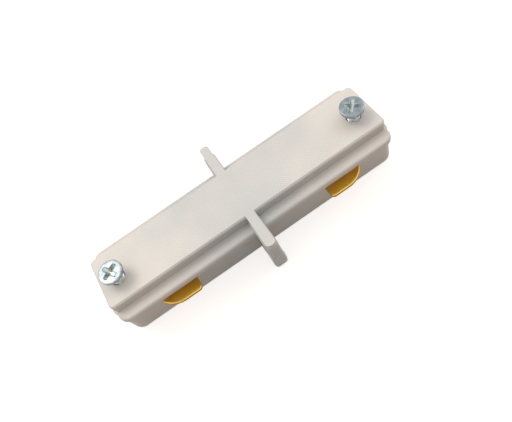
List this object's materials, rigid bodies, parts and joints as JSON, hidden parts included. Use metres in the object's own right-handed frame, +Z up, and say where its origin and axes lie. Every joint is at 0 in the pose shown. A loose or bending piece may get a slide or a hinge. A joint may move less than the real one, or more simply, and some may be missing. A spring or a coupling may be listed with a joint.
{
  "type": "lighting track connector",
  "caption": "Straight joiner for two-wire lighting track: slotted-track body with a centre collar, sprung brass contact noses and a clamp screw near each end.",
  "frame": {"origin": "middle of the flat underside", "axes": "+X along the track, +Y across it, +Z up out of the face plate"},
  "size_m": [0.081, 0.035, 0.02],
  "materials": {
    "housing_plastic": "warm white moulded plastic with a fine grain",
    "carrier_plastic": "natural moulded plastic",
    "contact_brass": "stamped brass strip",
    "screw_steel": "bright zinc plate on steel",
    "nut_steel": "zinc plate on steel",
    "spring_steel": "drawn spring wire",
    "retainer_nylon": "natural nylon"
  },
  "bodies": {
    "housing": {"upper_housing": "housing_plastic", "lower_housing": "housing_plastic", "contact_spring_front_left": "spring_steel", "contact_spring_front_right": "spring_steel", "contact_spring_back_left": "spring_steel", "contact_spring_back_right": "spring_steel", "spring_carrier_left": "carrier_plastic", "spring_carrier_right": "carrier_plastic", "square_nut_left": "nut_steel", "square_nut_right": "nut_steel", "housing_screw_1": "nut_steel", "housing_screw_2": "nut_steel", "housing_screw_3": "nut_steel", "housing_screw_4": "nut_steel"},
    "contact_front": {"contact_bar_front": "contact_brass"},
    "contact_back": {"contact_bar_back": "contact_brass"},
    "retainer_left": {"screw_retainer_left": "retainer_nylon"},
    "retainer_right": {"screw_retainer_right": "retainer_nylon"},
    "screw_left": {"clamp_screw_left": "screw_steel"},
    "screw_right": {"clamp_screw_right": "screw_steel"}
  },
  "joints": [
    {"name": "contact_front_press", "type": "slide", "parent": "housing", "child": "contact_front", "axis": [0, 1, 0], "range_m": [0, 0.0016], "stiffness_N_per_m": 1000, "springref_m": -0.001, "deforming": ["contact_spring_front_left", "contact_spring_front_right"]},
    {"name": "contact_back_press", "type": "slide", "parent": "housing", "child": "contact_back", "axis": [0, -1, 0], "range_m": [0, 0.0016], "stiffness_N_per_m": 1000, "springref_m": -0.001, "deforming": ["contact_spring_back_left", "contact_spring_back_right"]},
    {"name": "clamp_screw_left_travel", "type": "slide", "parent": "housing", "child": "retainer_left", "axis": [0, 0, 1], "range_m": [-0.0021, 0.0015]},
    {"name": "clamp_screw_left_turn", "type": "hinge", "parent": "retainer_left", "child": "screw_left", "pos_m": [-0.0346, -0.0011, 0.016], "axis": [0, 0, 1], "range_deg": [-1260, 900]},
    {"name": "clamp_screw_right_travel", "type": "slide", "parent": "housing", "child": "retainer_right", "axis": [0, 0, 1], "range_m": [-0.0021, 0.0015]},
    {"name": "clamp_screw_right_turn", "type": "hinge", "parent": "retainer_right", "child": "screw_right", "pos_m": [0.0346, -0.0011, 0.016], "axis": [0, 0, 1], "range_deg": [-1260, 900]}
  ],
  "couplings": [
    {"joint": "clamp_screw_left_turn", "follows": "clamp_screw_left_travel", "rad_per_m": 10472},
    {"joint": "clamp_screw_right_turn", "follows": "clamp_screw_right_travel", "rad_per_m": 10472}
  ]
}
